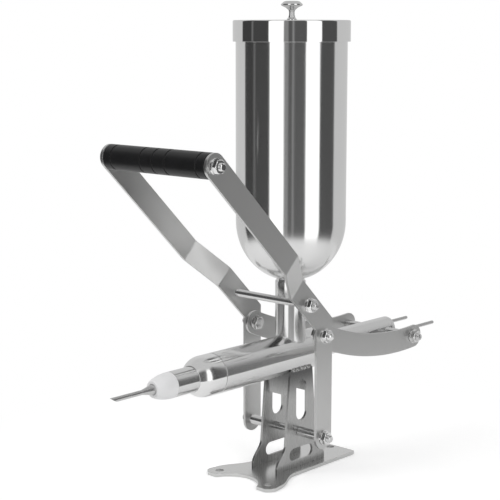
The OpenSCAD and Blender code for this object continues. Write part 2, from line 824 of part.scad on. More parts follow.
module lever_washers() {
    hole = rod_d + 2 * bolt_gap;
    color(bright_steel) both_sides() {
        for (at = [axle_at, elbow_at, tie_at]) washer_at(at, leg_out_x, hole);
        washer_at(grip_at, arm_out_x, hole);
    }
}

module lever_nuts() {
    color(bright_steel) both_sides() {
        for (at = [axle_at, elbow_at, tie_at]) nut_at(at, leg_out_x + washer_t);
        nut_at(grip_at, arm_out_x + washer_t);
    }
}

// ---------- links ----------

// Banana-shaped flat link from the elbow bolt to the rear pin. The elbow bolt
// runs in a short upright slot, so the lever's arc never strains the piston.
module link_outline() {
    half_w = bar_w / 2;
    difference() {
        union() {
            translate(elbow_at) circle(d = bar_w);
            translate(link_end) circle(d = bar_w);
            intersection() {
                difference() {
                    translate(link_centre) circle(r = link_r + half_w, $fn = 360);
                    translate(link_centre) circle(r = link_r - half_w, $fn = 360);
                }
                polygon([link_centre,
                         link_centre + 1.2 * (elbow_at - link_centre),
                         link_centre + 1.2 * (link_end - link_centre)]);
            }
        }
        translate(pin_at) circle(d = rod_d + 2 * pin_gap);
        translate(elbow_at) rotate(90)
            slot_outline(rod_d + 2 * play_across, rod_d + 2 * play_along);
    }
}

module link_right() { color(steel) side_sheet(link_in_x, link_t) link_outline(); }
module link_left() {
    color(steel) mirror([1, 0, 0]) side_sheet(link_in_x, link_t) link_outline();
}

// ---------- piston ----------

module piston_head() {
    r = bore_d / 2 - head_gap;
    groove_r = bore_d / 2 - ring_depth;
    rear = head_front + head_len;
    boss_r = tube_d / 2 - tube_wall - thread_gap;
    boss_len = 8;
    bevel = 1;
    // two grooves, at a quarter and three quarters of the head
    a = head_front + head_len / 4 - ring_w / 2;
    b = head_front + 3 * head_len / 4 - ring_w / 2;
    color(white_plastic) turned([
        [0, head_front], [r - bevel, head_front], [r, head_front + bevel],
        [r, a], [groove_r, a], [groove_r, a + ring_w], [r, a + ring_w],
        [r, b], [groove_r, b], [groove_r, b + ring_w], [r, b + ring_w],
        [r, rear], [boss_r, rear], [boss_r, rear + boss_len], [0, rear + boss_len]]);
}

module piston_rings() {
    outer_r = bore_d / 2 - ring_gap;
    inner_r = bore_d / 2 - ring_depth + ring_gap;
    side = 0.1;
    color(black_rubber) for (share = [0.25, 0.75]) {
        mid = head_front + share * head_len;
        half = ring_w / 2 - side;
        turned([[inner_r, mid - half], [outer_r - 0.4, mid - half], [outer_r, mid - half / 2],
                [outer_r, mid + half / 2], [outer_r - 0.4, mid + half], [inner_r, mid + half]]);
    }
}

module piston_tube() {
    front = head_front + head_len;
    rear = tube_end - plug_lip;
    color(bright_steel) difference() {
        barrel_rod(tube_d, front, rear);
        barrel_rod(tube_d - 2 * tube_wall, front - eps, rear + eps);
        cross(cross_d + 2 * bolt_gap, pin_at, -tube_d, tube_d);
    }
}

// Plug that closes the tube's rear end, with a rounded edge
module piston_end_plug() {
    r = tube_d / 2;
    round_r = 2;
    inside_len = 2;
    seat = tube_end - plug_lip;
    color(bright_steel) turned([
        [0, seat - inside_len], [r - tube_wall - thread_gap, seat - inside_len],
        [r - tube_wall - thread_gap, seat], [r, seat],
        for (i = [0:6]) let (a = 15 * i)
            [r - round_r * (1 - cos(a)), tube_end - round_r * (1 - sin(a))],
        [0, tube_end]]);
}

// Thick between the links, stepped down for their holes; the guide rods pass
// through it
module cross_rod() {
    shoulder_x = link_in_x - face_gap;
    color(bright_steel) difference() {
        union() {
            cross(cross_d, pin_at, -shoulder_x, shoulder_x);
            through_rod(rod_d, pin_at, link_out_x + face_gap + stack);
        }
        for (s = [-1, 1]) translate([s * guide_x, pin_y - cross_d, guide_z]) to_y()
            cylinder(d = guide_d + 2 * guide_gap, h = 2 * cross_d);
    }
}

module cross_rod_washers() {
    color(bright_steel) both_sides()
        washer_at(pin_at, link_out_x + face_gap, rod_d + 2 * bolt_gap);
}

module cross_rod_nuts() {
    color(bright_steel) both_sides() nut_at(pin_at, link_out_x + face_gap + washer_t);
}

// ---------- assembly ----------

base_plate();
stand_plate_left();
stand_plate_right();
cradle_plate_front();
cradle_plate_rear();
barrel_welds();
pump_barrel();
guide_rods();
feed_neck();
hopper();
screw_cap();
cap_seal();
outlet_tube();
nozzle_nut();
needle_nozzle();
nozzle_seal();
lever_arm_left();
lever_arm_right();
grip_tube();
rubber_grip();
grip_stud();
tie_rod();
lever_axle();
axle_sleeves();
elbow_bolts();
elbow_inner_washers();
lever_washers();
lever_nuts();
link_left();
link_right();
piston_head();
piston_rings();
piston_tube();
piston_end_plug();
cross_rod();
cross_rod_washers();
cross_rod_nuts();
lid();
lid_knob();
knob_screw();
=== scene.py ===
# %% [markdown]
# # A lever filler in polished steel
#
# The machine fills pastries. A tall hopper stands on a horizontal pump barrel, and a swinging
# yoke drives a piston through two curved links. Its CAD model already has every piece at its
# real size, so this lesson adds only what the eye wants: round edges, threads, weld beads,
# mirror polish, brushed bars, moulded rubber, and a studio for the steel to reflect.

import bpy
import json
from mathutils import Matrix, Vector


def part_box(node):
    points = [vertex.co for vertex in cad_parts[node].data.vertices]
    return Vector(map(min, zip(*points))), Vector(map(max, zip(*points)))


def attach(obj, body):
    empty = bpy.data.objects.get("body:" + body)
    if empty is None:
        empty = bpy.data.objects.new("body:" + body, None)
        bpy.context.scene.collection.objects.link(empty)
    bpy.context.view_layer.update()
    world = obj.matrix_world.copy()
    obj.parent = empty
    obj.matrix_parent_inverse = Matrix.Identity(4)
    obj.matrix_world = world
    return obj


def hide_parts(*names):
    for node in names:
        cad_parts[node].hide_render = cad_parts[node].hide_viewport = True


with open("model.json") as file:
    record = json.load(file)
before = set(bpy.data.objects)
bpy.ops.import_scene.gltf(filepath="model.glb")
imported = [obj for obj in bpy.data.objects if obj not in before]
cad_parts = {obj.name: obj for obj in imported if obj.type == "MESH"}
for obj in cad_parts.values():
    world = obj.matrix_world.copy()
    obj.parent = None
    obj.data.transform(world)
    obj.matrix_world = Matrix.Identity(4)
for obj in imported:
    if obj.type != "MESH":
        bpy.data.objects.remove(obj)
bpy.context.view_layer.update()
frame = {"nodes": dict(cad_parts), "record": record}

# %% [markdown]
# ## Working in millimetres
#
# Blender works in metres and a workshop in millimetres. All sizes below are written in
# millimetres and multiplied by `MM`. Places come from the CAD boxes wherever they can, so a
# piece that is modelled again still sits exactly where its CAD node is.

# %% Modules and units
import json
import math

import bmesh
import bpy
import numpy as np
from mathutils import Matrix, Vector

MM = 0.001
X_AXIS, Y_AXIS, Z_AXIS = 0, 1, 2


def middle(node):
    """Centre of a CAD node's box at rest."""
    low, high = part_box(node)
    return tuple((a + b) / 2 for a, b in zip(low, high))


BARREL_MID = middle("pump_barrel")
BARREL_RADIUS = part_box("pump_barrel")[1][0]
print("barrel axis at z =", round(BARREL_MID[2] / MM, 2), "mm")

# %% [markdown]
# ## Reading an outline back from a turned piece
#
# A turned piece is one outline spun about an axis. Every vertex of a turned piece lies on one
# of its circles. So each vertex is written as a radius and a place along the axis, which folds
# the whole mesh flat onto its outline, and the outline can be spun again with many more steps.

# %% Outlines of turned pieces
SAME_POINT = 0.004 * MM


def outlines_of(node, axis, centre):
    """Outlines of a turned CAD node: lists of (radius, place) points, and whether each closes."""
    mesh = frame["nodes"][node].data
    places = np.empty(3 * len(mesh.vertices))
    mesh.vertices.foreach_get("co", places)
    places = places.reshape(-1, 3)
    across = [k for k in range(3) if k != axis]
    radii = np.hypot(*(places[:, k] - centre[k] for k in across))
    folded = np.column_stack([radii, places[:, axis]])
    points, index = [], np.full(len(folded), -1)
    for i, point in enumerate(folded):
        if index[i] < 0:
            index[np.abs(folded - point).max(axis=1) < SAME_POINT] = len(points)
            points.append(tuple(float(v) for v in point))
    steps = {i: set() for i in range(len(points))}
    for edge in mesh.edges:
        a, b = (int(index[v]) for v in edge.vertices)
        if a != b:
            steps[a].add(b)
            steps[b].add(a)
    if max(len(s) for s in steps.values()) > 2:
        raise ValueError(node + " isn't a plain turned piece")
    found, left = [], set(steps)
    while left:
        ends = [i for i in left if len(steps[i]) < 2]
        here = min(ends) if ends else min(left)
        chain = []
        while here is not None:
            chain.append(points[here])
            left.discard(here)
            here = next((i for i in sorted(steps[here]) if i in left), None)
        if ends:
            chain = [(0.0, chain[0][1])] + chain + [(0.0, chain[-1][1])]
        found.append((chain, not ends))
    return found


print("lid outline:", [len(points) for points, closed in outlines_of("lid", Z_AXIS, (0, 0, 0))])

# %% [markdown]
# ## Softening the corners
#
# No machined edge is perfectly sharp. A tiny radius catches a line of light, and that line is
# what makes steel look like steel. Each corner of an outline becomes a short arc. A support
# point on both sides keeps the smooth shading from spreading over the flat faces.

# %% Round corners
def softened(points, closed, radius):
    """The outline with each real corner turned into a small arc."""
    count = len(points)
    result = []
    for i, point in enumerate(points):
        here = Vector(point)
        if not closed and i in (0, count - 1):
            result.append(here)
            continue
        before = Vector(points[i - 1]) - here
        after = Vector(points[(i + 1) % count]) - here
        turn = math.pi - before.angle(after)
        if turn < math.radians(18):
            result.append(here)
            continue
        cut = min(radius, 0.3 * before.length, 0.3 * after.length)
        back, ahead = before.normalized(), after.normalized()
        result.append(here + back * 1.6 * cut)
        for t in (0, 0.33, 0.67, 1):
            result.append(here + back * cut * (1 - t) ** 2 + ahead * cut * t ** 2)
        result.append(here + ahead * 1.6 * cut)
    return [tuple(p) for p in result]


print("a square gets", len(softened([(0, 0), (1, 0), (1, 1), (0, 1)], True, 0.1)), "points")

# %% [markdown]
# ## Spinning an outline
#
# Blender has a Screw modifier and a Spin operator for this. A short loop is clearer here: it
# places one ring of vertices for each outline point and joins neighbouring rings with quads.
# A point on the axis is one vertex and not a ring, so that the end closes without a fan of
# useless faces.

# %% Spin
ON_AXIS = 1e-7


def place_on(axis, centre, radius, angle, along):
    """A point at a radius and an angle about an axis, as x, y, z."""
    a, b = ((1, 2), (2, 0), (0, 1))[axis]
    point = [0.0, 0.0, 0.0]
    point[a] = centre[a] + radius * math.cos(angle)
    point[b] = centre[b] + radius * math.sin(angle)
    point[axis] = along
    return tuple(point)


def spin(points, closed, axis, centre, segments=96):
    """Vertices and faces of an outline spun about an axis."""
    vertices, rings = [], []
    for radius, along in points:
        count = 1 if radius < ON_AXIS else segments
        start = len(vertices)
        for k in range(count):
            vertices.append(place_on(axis, centre, radius, 2 * math.pi * k / segments, along))
        rings.append((start, count))
    faces = []
    pairs = list(zip(rings, rings[1:] + rings[:1])) if closed else list(zip(rings, rings[1:]))
    for (a, count_a), (b, count_b) in pairs:
        for k in range(segments):
            n = (k + 1) % segments
            if count_a == 1 and count_b == 1:
                break
            if count_a == 1:
                faces.append((a, b + k, b + n))
            elif count_b == 1:
                faces.append((a + k, b, a + n))
            else:
                faces.append((a + k, b + k, b + n, a + n))
    return vertices, faces


def ring_outline(inner, outer, low, high):
    """Outline of a plain ring, or of a rod where inner is 0."""
    return [(inner, low), (outer, low), (outer, high), (inner, high)]


def ring_faces(rings, sides, closed=False):
    """Quads between neighbouring rings of vertices, and from the last to the first if closed."""
    faces = []
    for i in range(rings if closed else rings - 1):
        a, b = i * sides, (i + 1) % rings * sides
        for k in range(sides):
            n = (k + 1) % sides
            faces.append((a + k, b + k, b + n, a + n))
    return faces


def placed(name, data):
    """A new object in the scene."""
    new = bpy.data.objects.new(name, data)
    bpy.context.scene.collection.objects.link(new)
    return new


def written(work, mesh):
    """Writes a bmesh back to its mesh, with faces turned outwards and shaded smooth."""
    bmesh.ops.recalc_face_normals(work, faces=work.faces)
    work.to_mesh(mesh)
    work.free()
    mesh.polygons.foreach_set("use_smooth", [True] * len(mesh.polygons))


def build(name, shells, sharp_angle=None):
    """One smooth-shaded object from one or more (vertices, faces) shells."""
    vertices, faces = [], []
    for shell_vertices, shell_faces in shells:
        start = len(vertices)
        vertices += shell_vertices
        faces += [tuple(start + i for i in face) for face in shell_faces]
    mesh = bpy.data.meshes.new(name)
    mesh.from_pydata(vertices, [], faces)
    work = bmesh.new()
    work.from_mesh(mesh)
    written(work, mesh)
    if sharp_angle:
        mesh.set_sharp_from_angle(angle=math.radians(sharp_angle))
    return placed(name, mesh)


BODY_OF = {n: b for b, nodes in frame["record"]["behaviour"]["bodies"].items() for n in nodes}


def stands_for(piece, node, material):
    """The piece takes a CAD node's place: its body, and a material."""
    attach(piece, BODY_OF[node])
    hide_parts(node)
    piece.data.materials.clear()
    piece.data.materials.append(material)
    return piece


def fine(node, shells, material, sharp_angle=50):
    """Shells that take a CAD node's place as one piece."""
    return stands_for(build("fine_" + node, shells, sharp_angle), node, material)


def turned_again(node, axis, centre, material, edge=0.25 * MM, segments=96):
    """A turned CAD node, modelled again with soft corners and many steps."""
    shells = []
    for points, closed in outlines_of(node, axis, centre):
        shells.append(spin(softened(points, closed, edge), closed, axis, centre, segments))
    piece = fine(node, shells, material, None)
    print(node, "has", len(piece.data.polygons), "faces")


# %% [markdown]
# ## Softening flat pieces
#
# The stand, arms and links are cut from flat bar. Their CAD meshes are exact already, and only
# lack the small round along each edge. A copy is cleaned of the lines that triangulation left,
# its folds get a real bending radius, and its sharp edges get a narrow bevel. A Weighted
# Normal modifier then keeps the big faces looking flat.

# %% Flat pieces with soft edges
def modified(piece, kind, **settings):
    """Adds a modifier to a piece and applies it at once."""
    modifier = piece.modifiers.new(kind, kind)
    for key, value in settings.items():
        setattr(modifier, key, value)
    bpy.context.view_layer.objects.active = piece
    bpy.ops.object.modifier_apply(modifier=modifier.name)


def edges_turning(work, low, high, shortest=0.0):
    """Edges whose two faces turn by an angle between low and high, in degrees."""
    found = []
    for edge in work.edges:
        if len(edge.link_faces) == 2 and edge.calc_length() >= shortest:
            if math.radians(low) < edge.calc_face_angle() < math.radians(high):
                found.append(edge)
    return found


def bevel(work, edges, width, steps):
    """Rounds edges of a bmesh."""
    bmesh.ops.bevel(work, geom=edges, offset=width, offset_type="OFFSET", segments=steps,
                    profile=0.5, affect="EDGES", clamp_overlap=True)


def soft_copy(node, material, edge=0.3 * MM, fold=0.0):
    """A copy of a flat CAD node with rounded edges and, if wanted, rounded folds."""
    mesh = frame["nodes"][node].data.copy()
    work = bmesh.new()
    work.from_mesh(mesh)
    bmesh.ops.remove_doubles(work, verts=work.verts, dist=SAME_POINT)
    bmesh.ops.dissolve_limit(work, angle_limit=math.radians(0.5), verts=work.verts,
                             edges=work.edges)
    if fold:
        bevel(work, edges_turning(work, 12, 40, 15 * MM), fold, 4)
    bevel(work, edges_turning(work, 40, 180), edge, 2)
    written(work, mesh)
    piece = placed("soft_" + node, mesh)
    modified(piece, "WEIGHTED_NORMAL", weight=80, keep_sharp=True)
    stands_for(piece, node, material)
    print(node, "has", len(mesh.polygons), "faces")


# %% [markdown]
# ## A small kit for shader nodes
#
# Every finish below starts from the Principled shader. These helpers add a node, feed it, and
# place fine marks on a surface. Marks come from noise read in the machine's own coordinates,
# so they stay on the metal when a piece moves.

# %% Shader helpers
def new_material(name):
    """An empty Principled material: the material, its node tree and its shader."""
    material = bpy.data.materials.new(name)
    material.use_nodes = True
    tree = material.node_tree
    return material, tree, tree.nodes["Principled BSDF"]


def feed(tree, socket, value):
    """Gives an input a plain value, or a link where the value is another node's output."""
    if isinstance(value, bpy.types.NodeSocket):
        tree.links.new(value, socket)
    else:
        socket.default_value = value


def add(tree, kind, **settings):
    """Adds a node and sets its properties, or feeds its inputs where the name is an input's."""
    node = tree.nodes.new("ShaderNode" + kind)
    for key, value in settings.items():
        if key in node.inputs:
            feed(tree, node.inputs[key], value)
        else:
            setattr(node, key, value)
    return node


def combined(tree, kind, *values, **settings):
    """The first output of a node whose inputs are fed in their order."""
    node = add(tree, kind, **settings)
    for socket, value in zip(node.inputs, values):
        feed(tree, socket, value)
    return node.outputs[0]


def machine_position(tree):
    """Coordinates in metres in the machine's own frame."""
    return add(tree, "TexCoord").outputs["Object"]


def new_metal(name):
    """A bare metal: what new_material gives, and the machine's coordinates."""
    material, tree, shader = new_material(name)
    shader.inputs["Metallic"].default_value = 1.0
    return material, tree, shader, machine_position(tree)


def surface(tree, shader, colour, roughness):
    """Feeds the shader's colour and roughness."""
    feed(tree, shader.inputs["Base Color"], colour)
    feed(tree, shader.inputs["Roughness"], roughness)


def stretched_noise(tree, position, scale, detail=3.0, turn=None):
    """Noise with its own scale along each axis, after a turn; low scales give long streaks."""
    if turn:
        position = add(tree, "Mapping", Vector=position, Rotation=turn).outputs[0]
    scaled = add(tree, "Mapping", Vector=position, Scale=scale).outputs[0]
    noise = add(tree, "TexNoise", Vector=scaled, Scale=1.0, Detail=detail, Roughness=0.6)
    return noise.outputs["Fac"]


def ranged(tree, value, from_low, from_high, low=0.0, high=1.0, **settings):
    """Maps one range of a value to another."""
    ends = {"From Min": from_low, "From Max": from_high, "To Min": low, "To Max": high}
    return add(tree, "MapRange", Value=value, **ends, **settings).outputs["Result"]


def spread(tree, value, low, high):
    """Maps noise to a range."""
    return ranged(tree, value, 0.25, 0.75, low, high)


def worked(tree, operation, *values):
    """A sum, product or other operation on sockets or plain numbers."""
    return combined(tree, "Math", *values, operation=operation)


def tint(tree, factor, dark, pale):
    """Mixes two colours by a factor; each is an output, a grey level or red, green and blue."""
    ends = []
    for colour in (dark, pale):
        if isinstance(colour, float):
            colour = (colour, colour, colour)
        ends.append((*colour, 1) if isinstance(colour, tuple) else colour)
    mix = add(tree, "Mix", data_type="RGBA", Factor=factor, A=ends[0], B=ends[1])
    return mix.outputs["Result"]


def bump(tree, shader, height, distance):
    """Feeds a height to the shader's normal, on top of any height that is there already."""
    normal = shader.inputs["Normal"]
    node = add(tree, "Bump", Strength=1.0, Distance=distance, Height=height)
    if normal.is_linked:
        feed(tree, node.inputs["Normal"], normal.links[0].from_socket)
    feed(tree, normal, node.outputs["Normal"])


def stretch_shine(tree, shader, axis, amount):
    """Draws reflections out along an axis, as polishing marks that run round it do."""
    tangent = add(tree, "Tangent", direction_type="RADIAL", axis="XYZ"[axis])
    feed(tree, shader.inputs["Tangent"], tangent.outputs["Tangent"])
    shader.inputs["Anisotropic"].default_value = amount
    shader.inputs["Anisotropic Rotation"].default_value = 0.25


# %% [markdown]
# ## Mirror-polished sheet
#
# The hopper and lid are sheet, polished round and round until they mirror the studio. The
# polishing marks run round the axis, and a reflection is drawn out across such marks, so here
# up and down: the hopper shows long clean stripes and hardly any shape in them. The Tangent
# node and the shader's anisotropy do exactly that. Slight waves make the stripes waver, and
# faint upright streaks break them up.

# %% Mirror sheet
SHEET_STREAK = 0.035 * MM


def mirror_sheet(name, roughness, wave, stretch):
    """Polished sheet: fine rings about the Z axis and a slow wave."""
    material, tree, shader, position = new_metal(name)
    rings = stretched_noise(tree, position, (25, 25, 2600), 4)
    clouds = stretched_noise(tree, position, (18, 18, 9), 2)
    slow = stretched_noise(tree, position, (45, 45, 6), 1)
    surface(tree, shader, tint(tree, clouds, (0.80, 0.80, 0.80), (0.86, 0.86, 0.855)),
            spread(tree, rings, roughness * 0.94, roughness * 1.06))
    bump(tree, shader, slow, wave)
    bump(tree, shader, stretched_noise(tree, position, (170, 170, 3), 2), SHEET_STREAK)
    stretch_shine(tree, shader, Z_AXIS, stretch)
    return material


hopper_steel = mirror_sheet("hopper_steel", 0.17, 0.05 * MM, 0.92)
lid_steel = mirror_sheet("lid_steel", 0.07, 0.10 * MM, 0.8)
print("sheet finishes:", hopper_steel.name, lid_steel.name)

# %% [markdown]
# ## Turned and polished steel
#
# Barrel, cap and tubes come off a lathe and are polished on it. The marks run round the axis,
# so the noise changes fast along the axis and hardly at all around it, and reflections are
# drawn out into bands along each tube. Drawn tube also has faint flutes along its length,
# which split those bands.

# %% Turned steel
def turned_steel(name, axis, roughness, shade=0.80, stretch=0.95, ring_scale=1500,
                 ring_depth=0.0004 * MM, flute_depth=0.0):
    """Lathe-polished steel: tool marks run round the axis and faint flutes along it."""
    material, tree, shader, position = new_metal(name)
    ring = [12, 12, 12]
    ring[axis] = ring_scale
    marks = stretched_noise(tree, position, ring, 3)
    clouds = stretched_noise(tree, position, (60, 60, 60), 3)
    pale = shade * 1.06
    surface(tree, shader, tint(tree, clouds, (shade, shade, shade), (pale, pale, pale * 0.995)),
            spread(tree, marks, roughness * 0.92, roughness * 1.08))
    bump(tree, shader, marks, ring_depth)
    if flute_depth:
        flute = [230, 230, 230]
        flute[axis] = 3
        bump(tree, shader, stretched_noise(tree, position, flute, 2), flute_depth)
    if stretch:
        stretch_shine(tree, shader, axis, stretch)
    return material


barrel_steel = turned_steel("barrel_steel", Y_AXIS, 0.15, 0.76, flute_depth=0.09 * MM)
guide_steel = turned_steel("guide_steel", Y_AXIS, 0.16, 0.52)
cap_steel = turned_steel("cap_steel", Y_AXIS, 0.15, 0.84, 0.85, flute_depth=0.05 * MM)
neck_steel = turned_steel("neck_steel", Z_AXIS, 0.20, 0.74, flute_depth=0.03 * MM)
rod_steel = turned_steel("rod_steel", X_AXIS, 0.18, 0.72)
needle_steel = turned_steel("needle_steel", Y_AXIS, 0.22, 0.60)
knob_steel = turned_steel("knob_steel", Z_AXIS, 0.10, 0.74)
fastener_steel = turned_steel("fastener_steel", X_AXIS, 0.12, 0.84, 0, 2500, 0.0003 * MM)
print("turned finishes made")

# %% [markdown]
# ## Brushed bar
#
# Flat bar is ground with a belt along its length. The scratches are long, thin and parallel,
# and they blur what the bar reflects. The lever's arm bends, and the belt followed the bend.
# So its material holds two grains and changes from one to the other along the mitre line. On
# the stand, the colour is painted darker towards the barrel, as painted shade under it.

# %% Brushed bar
ARM_LEAN = math.radians(45.5)
ARM_BEND = (-5.5 * MM, 170 * MM)     # y and z of the bend's corner
# Painted shade under the barrel: the stand's colour darkens between these two heights.
PAINTED_SHADE_FROM, PAINTED_SHADE_TO = 80 * MM, 113 * MM
PAINTED_SHADE_MOST, PAINTED_SHADE_LEVEL = 0.90, 0.10


def grain(tree, position, along, turn=None):
    """Long belt-grinding scratches along one axis of the turned position."""
    fine, coarse = [4200, 4200, 4200], [1500, 1500, 1500]
    fine[along], coarse[along] = 60, 20
    both = worked(tree, "ADD", stretched_noise(tree, position, fine, 2, turn),
                  stretched_noise(tree, position, coarse, 3, turn))
    return worked(tree, "MULTIPLY", both, 0.5)


def past_bend(tree, position):
    """1 on the leaning part of the arm and 0 on its upright leg."""
    mitre = (0, -math.sin(ARM_LEAN / 2), math.cos(ARM_LEAN / 2))
    dot = add(tree, "VectorMath", operation="DOT_PRODUCT", Vector=position)
    dot.inputs[1].default_value = mitre
    return worked(tree, "GREATER_THAN", dot.outputs["Value"],
                  mitre[1] * ARM_BEND[0] + mitre[2] * ARM_BEND[1])


def painted_barrel_shade(tree, position, colour):
    """The steel's colour darkened towards the barrel: painted shade below the barrel."""
    height = add(tree, "SeparateXYZ", Vector=position).outputs["Z"]
    share = ranged(tree, height, PAINTED_SHADE_FROM, PAINTED_SHADE_TO, 0.0, PAINTED_SHADE_MOST,
                   interpolation_type="SMOOTHSTEP")
    return tint(tree, share, colour, PAINTED_SHADE_LEVEL)


def brushed_bar(name, along, roughness, shade, bends=False, shaded_below_barrel=False):
    """Belt-ground flat bar."""
    material, tree, shader, position = new_metal(name)
    scratches = grain(tree, position, along)
    if bends:
        leaning = grain(tree, position, Z_AXIS, (-ARM_LEAN, 0, 0))
        mix = add(tree, "Mix", data_type="FLOAT", Factor=past_bend(tree, position),
                  A=scratches, B=leaning)
        scratches = mix.outputs["Result"]
    dark = shade * 0.96
    colour = tint(tree, scratches, (dark, dark, dark), (shade, shade, shade * 0.985))
    # Painted shade: the colour darkens towards the barrel.
    if shaded_below_barrel:
        colour = painted_barrel_shade(tree, position, colour)
    surface(tree, shader, colour, spread(tree, scratches, roughness * 0.85, roughness * 1.2))
    bump(tree, shader, scratches, 0.003 * MM)
    return material


arm_steel = brushed_bar("arm_steel", Z_AXIS, 0.33, 0.66, bends=True)
link_steel = brushed_bar("link_steel", Y_AXIS, 0.33, 0.64)
# The stand carries painted shade under the barrel.
stand_steel = brushed_bar("stand_steel", Z_AXIS, 0.27, 0.52, shaded_below_barrel=True)
base_steel = brushed_bar("base_steel", Y_AXIS, 0.24, 0.76)
print("brushed finishes made")

# %% [markdown]
# ## Weld metal, plastic and rubber
#
# A weld bead is duller than the sheet and a little tinted by heat. The nozzle nut is white
# turned plastic with a soft shine. Grip and O-rings are black rubber, whose moulded skin
# breaks the highlight into a soft glow.

# %% Other finishes
def weld_metal(name):
    """Dull, lumpy weld metal."""
    material, tree, shader, position = new_metal(name)
    lumps = stretched_noise(tree, position, (420, 420, 420), 3)
    patches = spread(tree, lumps, 0.0, 1.0)
    surface(tree, shader, tint(tree, patches, (0.14, 0.14, 0.14), (0.80, 0.80, 0.79)),
            spread(tree, lumps, 0.16, 0.34))
    bump(tree, shader, lumps, 0.5 * MM)
    return material


def moulded(name, dark, pale, roughness, pit_scale, pit_depth, shine=0.5):
    """Plastic or rubber with a fine moulded or turned skin."""
    material, tree, shader = new_material(name)
    shader.inputs["Specular IOR Level"].default_value = shine
    position = machine_position(tree)
    pits = stretched_noise(tree, position, (pit_scale, pit_scale, pit_scale), 4)
    clouds = stretched_noise(tree, position, (70, 70, 70), 2)
    surface(tree, shader, tint(tree, clouds, dark, pale),
            spread(tree, pits, roughness * 0.9, roughness * 1.1))
    bump(tree, shader, pits, pit_depth)
    return material


weld_steel = weld_metal("weld_steel")
nut_plastic = moulded("nut_plastic", (0.74, 0.74, 0.745), (0.78, 0.78, 0.785), 0.32, 900, 0.01 * MM)
seal_silicone = moulded("seal_silicone", (0.70, 0.70, 0.69), (0.78, 0.78, 0.77), 0.5, 1200,
                        0.02 * MM)
grip_rubber = moulded("grip_rubber", (0.006, 0.006, 0.006), (0.012, 0.012, 0.013), 0.34, 2200,
                      0.03 * MM, 0.3)
ring_rubber = moulded("ring_rubber", (0.010, 0.010, 0.010), (0.020, 0.020, 0.020), 0.45, 2600,
                      0.02 * MM)
print("other finishes made")

# %% [markdown]
# ## Hopper, lid and knob
#
# These three are spun again from their own outlines. The hopper gets the most steps, because
# the stripes that it mirrors show every flat spot.

# %% Hopper, lid, knob
HOPPER_AXIS = (0.0, 0.0, 0.0)
turned_again("hopper", Z_AXIS, HOPPER_AXIS, hopper_steel, 0.35 * MM, 256)
turned_again("lid", Z_AXIS, HOPPER_AXIS, lid_steel, 0.4 * MM, 256)
turned_again("lid_knob", Z_AXIS, HOPPER_AXIS, knob_steel, 0.3 * MM, 96)

# %% [markdown]
# ## Pump front
#
# Screw cap, outlet tube and nozzle nut share the barrel's axis. So do the piston's head, its
# rings and its end plug. A loop treats them all alike, each with its own finish.

# %% Turned pieces on the barrel's axis
ON_BARREL = {
    "screw_cap": (cap_steel, 0.3 * MM),
    "outlet_tube": (barrel_steel, 0.3 * MM),
    "nozzle_nut": (nut_plastic, 0.4 * MM),
    "cap_seal": (seal_silicone, 0.2 * MM),
    "nozzle_seal": (seal_silicone, 0.2 * MM),
    "piston_head": (nut_plastic, 0.3 * MM),
    "piston_rings": (ring_rubber, 0.3 * MM),
    "piston_end_plug": (barrel_steel, 0.3 * MM),
}
for part, (finish, corner) in ON_BARREL.items():
    turned_again(part, Y_AXIS, BARREL_MID, finish, corner, 128)

# %% [markdown]
# ## Barrel and piston tube
#
# The barrel has the feed port in its top and the piston tube has a cross hole for the rear
# rod. Neither is a plain turned piece, so their outlines are written out. A Boolean modifier
# with a round cutter drills them, as a mill would.

# %% Barrel and piston tube
BARREL_WALL = 4 * MM
SPIGOT_STEP = 2 * MM
SPIGOT_LENGTH = 11 * MM
PORT_RADIUS = 14 * MM
TUBE_WALL = 2 * MM
CROSS_HOLE_RADIUS = 5.1 * MM


def drill(piece, axis, centre, radius, low, high):
    """Drills a round hole along an axis between two places."""
    outline = ring_outline(0.0, radius, low, high)
    cutter = build("drill", [spin(outline, False, axis, centre, 64)])
    modified(piece, "BOOLEAN", operation="DIFFERENCE", solver="EXACT", object=cutter)
    bpy.data.objects.remove(cutter)


def drilled_barrel():
    """Pump barrel with its stepped front and its feed port."""
    low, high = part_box("pump_barrel")
    outer = BARREL_RADIUS
    step_y = low[1] + SPIGOT_LENGTH
    outline = [(outer - BARREL_WALL, low[1]), (outer - SPIGOT_STEP, low[1]),
               (outer - SPIGOT_STEP, step_y), (outer, step_y), (outer, high[1]),
               (outer - BARREL_WALL, high[1])]
    shell = spin(softened(outline, True, 0.5 * MM), True, Y_AXIS, BARREL_MID, 160)
    piece = build("fine_pump_barrel", [shell], 50)
    drill(piece, Z_AXIS, (0, 0, 0), PORT_RADIUS, BARREL_MID[2], high[2] + 5 * MM)
    return stands_for(piece, "pump_barrel", barrel_steel)


def drilled_tube():
    """Piston tube with the cross hole for the rear rod."""
    low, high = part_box("piston_tube")
    outer = (high[0] - low[0]) / 2
    outline = ring_outline(outer - TUBE_WALL, outer, low[1], high[1])
    shell = spin(softened(outline, True, 0.3 * MM), True, Y_AXIS, BARREL_MID, 128)
    piece = build("fine_piston_tube", [shell], 50)
    drill(piece, X_AXIS, middle("cross_rod"), CROSS_HOLE_RADIUS, -30 * MM, 30 * MM)
    return stands_for(piece, "piston_tube", barrel_steel)


for made in (drilled_barrel(), drilled_tube()):
    print(made.name, "has", len(made.data.polygons), "faces")

# %% [markdown]
# ## Guide rods
#
# Two thin rods stand behind the barrel with rounded ends, and the cross rod slides on them.

